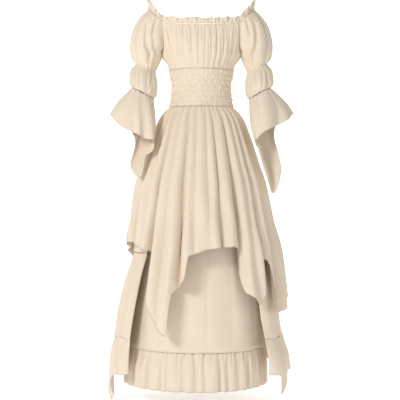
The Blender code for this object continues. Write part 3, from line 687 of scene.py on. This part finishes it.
def neck_ring(across):
    """The line of the neck casing: front, right arm, back and left arm as 0 to 4."""
    stretch = (across % 4).astype(int)
    share = 2 * (across % 1) - 1
    zero = np.zeros_like(across)
    lines = (
        bodice_surface(-1, share, zero),
        sleeve_surface(1, share, zero),
        bodice_surface(1, share, zero),
        sleeve_surface(-1, share, zero),
    )
    ring = np.zeros(across.shape + (3,))
    for number, line in enumerate(lines):
        ring[stretch == number] = line[stretch == number]
    arm = np.where(stretch % 2 == 1, np.cos(share * math.pi / 2) ** 2, 0.0)
    return ring, arm


across, down = np.meshgrid(np.linspace(0, 4, 513), np.linspace(0, 1, 19))
ring, arm = neck_ring(across)
height = FRILL_FRONT_HEIGHT + (FRILL_ARM_HEIGHT - FRILL_FRONT_HEIGHT) * arm
height *= 1 + FRILL_HEIGHT_DRIFT * down * np.sin(across * 37.0 + 3 * np.sin(across * 9.0))
out = np.stack((ring[..., 0], ring[..., 1] * 4, np.zeros_like(across)), axis=-1)
out /= np.linalg.norm(out, axis=-1, keepdims=True)
rise = fade(down, CASING_SHARE * 0.7, 1.0)
lean = FRILL_WAVE * rise * np.sin(across * math.tau * FRILL_WAVES / 4)
crinkle = np.sin(across * math.tau * FRILL_WAVES / 4 * 2.5 + 2.2 * np.sin(across * 11.0))
lean += (CRINKLE + CRINKLE_AT_EDGE * rise) * crinkle
lean -= STITCH_DEPTH * np.exp(-(((down - CASING_SHARE) / STITCH_WIDTH) ** 2))
frill_points = ring + out * lean[..., None]
frill_points[..., 2] += SEAM_GAP + height * down
frill_points[:, -1] = frill_points[:, 0]
frill = lay_cloth("cotton_neck_frill", frill_points)
dress_node(frill, "neck_frill")
rolled_hem("rolled_hem_neck_frill", frill_points[-1], FRILL_HEM_RADIUS)

# Skirts: an overskirt pleated into the waistband, with a handkerchief hem in long points; a
# layer at the sides and the back in two gathered tiers and a ruffle; and a plain A-line
# underskirt with a gathered ruffle round its hem. Each row gives the half sizes at a drop.
OVERSKIRT_SWAY = 0.0035
OVERSKIRT_GATHERS = (34, 0.09, 0.0034)
OVERSKIRT_SEAM_FADE = 4.0
OVERSKIRT = (
    # drop, left, right, front, back, fold
    (0.000, 0.1172, 0.1172, 0.0884, 0.0874, 0.0004),
    (0.021, 0.1380, 0.1380, 0.1050, 0.1030, 0.0050),
    (0.051, 0.1570, 0.1570, 0.1230, 0.1210, 0.0090),
    (0.130, 0.1870, 0.1870, 0.1560, 0.1540, 0.0130),
    (0.198, 0.2100, 0.2090, 0.1790, 0.1770, 0.0160),
    (0.277, 0.2370, 0.2360, 0.2020, 0.2000, 0.0190),
    (0.417, 0.2630, 0.2640, 0.2290, 0.2290, 0.0230),
    (0.497, 0.2780, 0.2860, 0.2440, 0.2480, 0.0250),
    (0.669, 0.3220, 0.3150, 0.2760, 0.2960, 0.0260),
    (0.800, 0.3320, 0.3200, 0.2900, 0.3160, 0.0260),
)
OVERSKIRT_FRONT_VALLEYS = (
    # degrees round the body, depth beside its neighbours at the band and at the hem
    (-90, 1.0, 1.0), (-77, 0.8, 0.6), (-64, 1.1, 1.4), (-53, 0.7, 0.4), (-41, 1.2, 1.9),
    (-29, 0.8, 0.8), (-16, 1.3, 2.0), (-5, 0.7, 0.5), (6, 0.6, 0.2), (15, 1.0, 1.3),
    (30, 1.3, 2.0), (41, 0.7, 0.4), (49, 1.1, 1.3), (62, 1.0, 1.5), (77, 0.8, 0.7),
    (90, 1.0, 1.0),
)
OVERSKIRT_BACK_VALLEYS = (
    (90, 1.0), (103, 0.8), (116, 1.1), (128, 0.7), (142, 1.2), (154, 0.8), (167, 1.0),
    (180, 1.2), (192, 0.7), (205, 1.1), (218, 0.8), (231, 1.2), (244, 0.7), (257, 1.0),
    (270, 1.0),
)
OVERSKIRT_FRONT_HEM = (
    # degrees round the body, z of the hem
    (-90, -0.540), (-64, -0.549), (-43, -0.574), (-39, -0.590), (-37, -0.735), (-28, -0.835),
    (-21.5, -0.856), (-19, -0.718), (-16, -0.698), (-10.8, -0.666), (-9.3, -0.590), (4, -0.567),
    (24, -0.557), (28.7, -0.568), (31, -0.712), (41, -0.756), (47.5, -0.702), (51, -0.604),
    (53, -0.612), (56, -0.806), (70, -0.778), (82, -0.742), (90, -0.735),
)
OVERSKIRT_BACK_HEM = (
    (90, -0.735), (103, -0.680), (122, -0.610), (142, -0.740), (154, -0.810), (167, -0.700),
    (186, -0.640), (205, -0.740), (218, -0.800), (231, -0.660), (250, -0.590), (270, -0.540),
)


def skirt_surface(table, valleys, top, hem_z, angle, down):
    """Points of a skirt piece between two heights."""
    z = top - SEAM_GAP + (hem_z - top + SEAM_GAP) * down
    left, right, front, back, fold = curve_through(table, BAND_BOTTOM - z)
    x, y = oval(angle, left, right, front, back, fold * scallop(valleys, angle, down))
    return np.stack((x, y, z), axis=-1)


def hem_line(table, angle):
    """Height of a handkerchief hem, straight from corner to corner."""
    return np.interp(angle, [row[0] for row in table], [row[1] for row in table])


for name, first, valleys, hem_table in (
    ("overskirt_front", -90.0, OVERSKIRT_FRONT_VALLEYS, OVERSKIRT_FRONT_HEM),
    ("overskirt_back", 90.0, OVERSKIRT_BACK_VALLEYS, OVERSKIRT_BACK_HEM),
):
    rows = np.linspace(0, 1, 89) ** 1.25
    angle, down = np.meshgrid(np.linspace(first, first + 180, 241), rows)
    points = skirt_surface(OVERSKIRT, valleys, BAND_BOTTOM, hem_line(hem_table, angle), angle, down)
    relief = gathers(angle, down, 0.0, first, first + 180, *OVERSKIRT_GATHERS)
    relief += OVERSKIRT_SWAY * fade(down, 0.1, 0.9) * np.sin(angle * 0.31 + 3.0 * np.sin(down * 4.0))
    relief *= fade(90 - np.abs(angle - first - 90), 0.0, OVERSKIRT_SEAM_FADE)
    points = raise_cloth(points, relief)
    skirt = lay_cloth("cotton_" + name, points)
    dress_node(skirt, name)
    rolled_hem("rolled_hem_" + name, points[-1])

DRAPE = (
    # drop, left, right, front, back, fold
    (0.000, 0.1150, 0.1150, 0.0862, 0.0852, 0.0000),
    (0.021, 0.1270, 0.1270, 0.0945, 0.0925, 0.0010),
    (0.051, 0.1400, 0.1400, 0.1060, 0.1040, 0.0030),
    (0.130, 0.1640, 0.1640, 0.1330, 0.1310, 0.0060),
    (0.277, 0.2040, 0.2030, 0.1690, 0.1670, 0.0090),
    (0.417, 0.2260, 0.2260, 0.1900, 0.1900, 0.0090),
    (0.515, 0.2420, 0.2430, 0.2020, 0.2010, 0.0060),
    (0.600, 0.2720, 0.2600, 0.2180, 0.2180, 0.0110),
    (0.730, 0.3040, 0.2780, 0.2360, 0.2380, 0.0120),
    (0.812, 0.3140, 0.2940, 0.2480, 0.2540, 0.0070),
    (0.900, 0.3300, 0.3190, 0.2760, 0.2840, 0.0180),
    (1.050, 0.3330, 0.3160, 0.2800, 0.2900, 0.0200),
)
DRAPE_RIGHT_EDGE = 50.0
DRAPE_LEFT_EDGE = 307.0
DRAPE_SEAM = -0.584
DRAPE_RUFFLE_SEAM = -0.881
DRAPE_HEM = (
    (DRAPE_RIGHT_EDGE, -1.000), (58, -1.004), (66, -1.084), (74, -1.006), (95, -0.985),
    (140, -1.000), (180, -0.990), (225, -1.000), (262, -1.010), (278, -1.112), (290, -1.010),
    (DRAPE_LEFT_EDGE, -1.000),
)
DRAPE_GATHER_REACH = 0.22
DRAPE_SWAY = 0.0020
DRAPE_TIERS = (
    # name, folds, top, bottom or None for the handkerchief hem, depth of its gathers, cut
    ("drape_upper", 11, BAND_BOTTOM, DRAPE_SEAM, 0.0015, (0.90, 0.53)),
    ("drape_lower", 15, DRAPE_SEAM, DRAPE_RUFFLE_SEAM, 0.0050, (1.25, 0.31)),
    ("drape_ruffle", 18, DRAPE_RUFFLE_SEAM, None, 0.0060, (1.60, 0.14)),
)

for name, count, top, bottom, gather, flat in DRAPE_TIERS:
    valleys = even_valleys(DRAPE_RIGHT_EDGE, DRAPE_LEFT_EDGE, count)
    columns = np.linspace(DRAPE_RIGHT_EDGE, DRAPE_LEFT_EDGE, 281)
    angle, down = np.meshgrid(columns, np.linspace(0, 1, 35))
    hem_z = hem_line(DRAPE_HEM, angle) if bottom is None else bottom
    points = skirt_surface(DRAPE, valleys, top, hem_z, angle, down)
    edges = (DRAPE_RIGHT_EDGE, DRAPE_LEFT_EDGE)
    relief = gathers(angle, down, 0.0, *edges, 3 * count, DRAPE_GATHER_REACH, gather)
    relief += DRAPE_SWAY * down * np.sin(angle * 0.33 + 2.0 * np.sin(down * 3.0))
    points = raise_cloth(points, relief * fade(down, 0.0, 0.03))
    tier = lay_cloth("cotton_" + name, points)
    dress_node(tier, name)
    if bottom is None:
        rolled_hem("rolled_hem_" + name, points[-1])

UNDERSKIRT = (
    # drop, left, right, front, back, fold
    (0.000, 0.1122, 0.1122, 0.0834, 0.0824, 0.0000),
    (0.050, 0.1210, 0.1210, 0.0910, 0.0900, 0.0010),
    (0.200, 0.1490, 0.1470, 0.1220, 0.1210, 0.0030),
    (0.400, 0.1850, 0.1810, 0.1570, 0.1560, 0.0050),
    (0.600, 0.2190, 0.2090, 0.1890, 0.1890, 0.0070),
    (0.750, 0.2430, 0.2240, 0.2080, 0.2110, 0.0070),
    (0.850, 0.2600, 0.2280, 0.2180, 0.2230, 0.0030),
    (0.900, 0.2740, 0.2360, 0.2290, 0.2340, 0.0090),
    (0.979, 0.2790, 0.2380, 0.2340, 0.2390, 0.0140),
)
HEM_SEAM = -0.919
HEM_Z = -1.048
UNDERSKIRT_SWAY = 0.0030
RUFFLE_GATHERS = (52, 0.35, 0.0060)
RUFFLE_SEAM_FADE = 2.0

for half, first in (("front", -90.0), ("back", 90.0)):
    soft = even_valleys(first, first + 180, 6)
    waves = even_valleys(first, first + 180, 19)
    angle, down = np.meshgrid(np.linspace(first, first + 180, 141), np.linspace(0, 1, 53))
    points = skirt_surface(UNDERSKIRT, soft, BAND_BOTTOM, HEM_SEAM, angle, down)
    relief = UNDERSKIRT_SWAY * fade(down, 0.2, 0.8) * np.sin(angle * 0.21 + 1.2 * np.sin(down * 3.0))
    relief *= 1 - fade(down, 0.9, 1.0)
    underskirt = lay_cloth("cotton_underskirt_" + half, raise_cloth(points, relief))
    dress_node(underskirt, "underskirt_" + half)
    angle, down = np.meshgrid(np.linspace(first, first + 180, 301), np.linspace(0, 1, 31))
    points = skirt_surface(UNDERSKIRT, waves, HEM_SEAM, HEM_Z, angle, down)
    relief = gathers(angle, down, 0.0, first, first + 180, *RUFFLE_GATHERS)
    relief *= fade(90 - np.abs(angle - first - 90), 0.0, RUFFLE_SEAM_FADE)
    points = raise_cloth(points, relief)
    ruffle = lay_cloth("cotton_hem_ruffle_" + half, points)
    dress_node(ruffle, "hem_ruffle_" + half)
    rolled_hem("rolled_hem_ruffle_" + half, points[-1])
